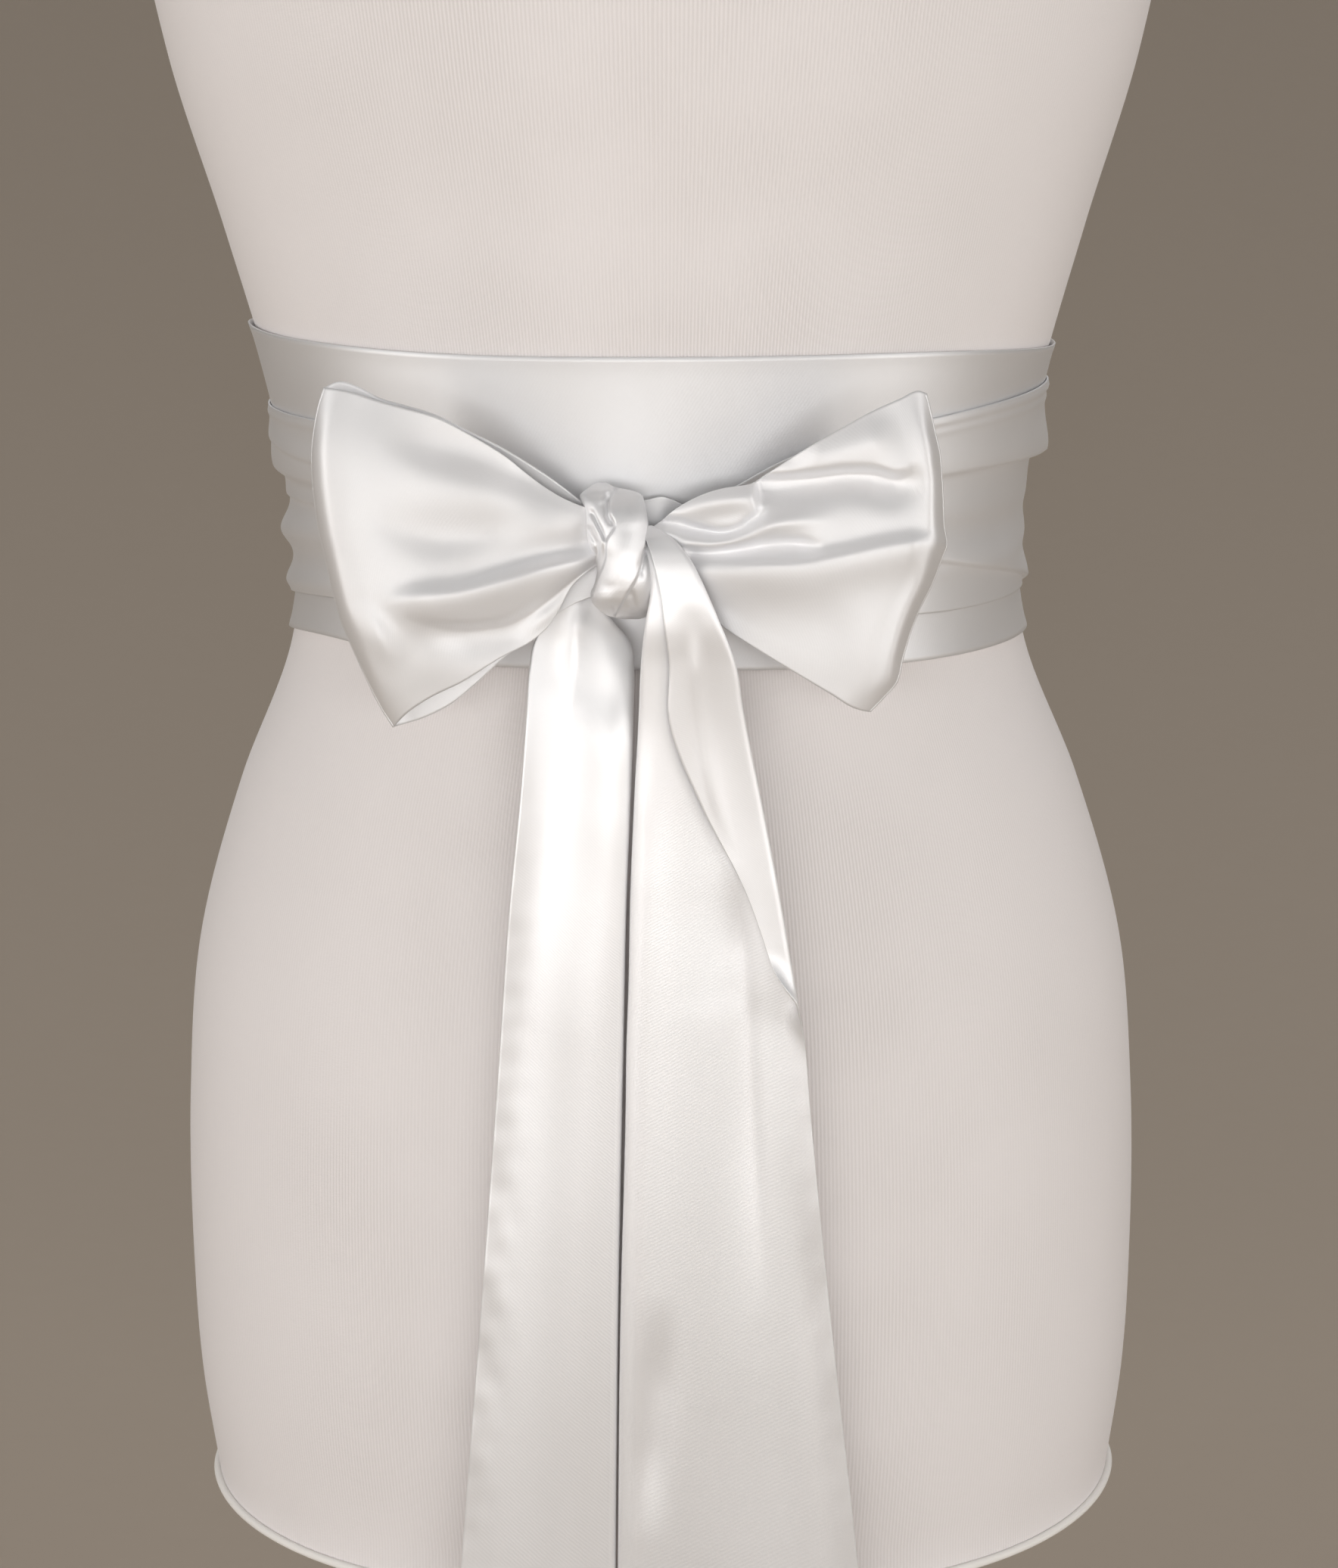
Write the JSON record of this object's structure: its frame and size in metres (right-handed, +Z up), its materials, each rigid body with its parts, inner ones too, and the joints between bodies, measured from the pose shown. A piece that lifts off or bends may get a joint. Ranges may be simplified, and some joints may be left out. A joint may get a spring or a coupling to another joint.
{
  "type": "satin sash on dress form",
  "caption": "Long satin sash wound twice round a limbless dress form and tied in front in a bow with two hanging tails, on a round stand.",
  "frame": {"origin": "centre of the round base's underside, on the floor", "axes": "+Z up along the stand, -Y towards the front where the bow is, +X to the right of someone looking at the bow"},
  "size_m": [0.345, 0.3, 0.945],
  "materials": {
    "satin": "ivory satin with a soft sheen",
    "jersey": "cream fine-ribbed cotton jersey, matt",
    "enamel": "warm grey enamel, half matt"
  },
  "bodies": {
    "root": {"sash_front": "satin", "sash_back_under": "satin", "sash_back_over": "satin", "sash_wrap_left": "satin", "sash_wrap_right": "satin", "bow_loop_left": "satin", "bow_loop_right": "satin", "knot": "satin", "tail_left": "satin", "tail_right": "satin", "dress_form": "jersey", "stand_pole": "enamel", "stand_base": "enamel"}
  },
  "joints": []
}
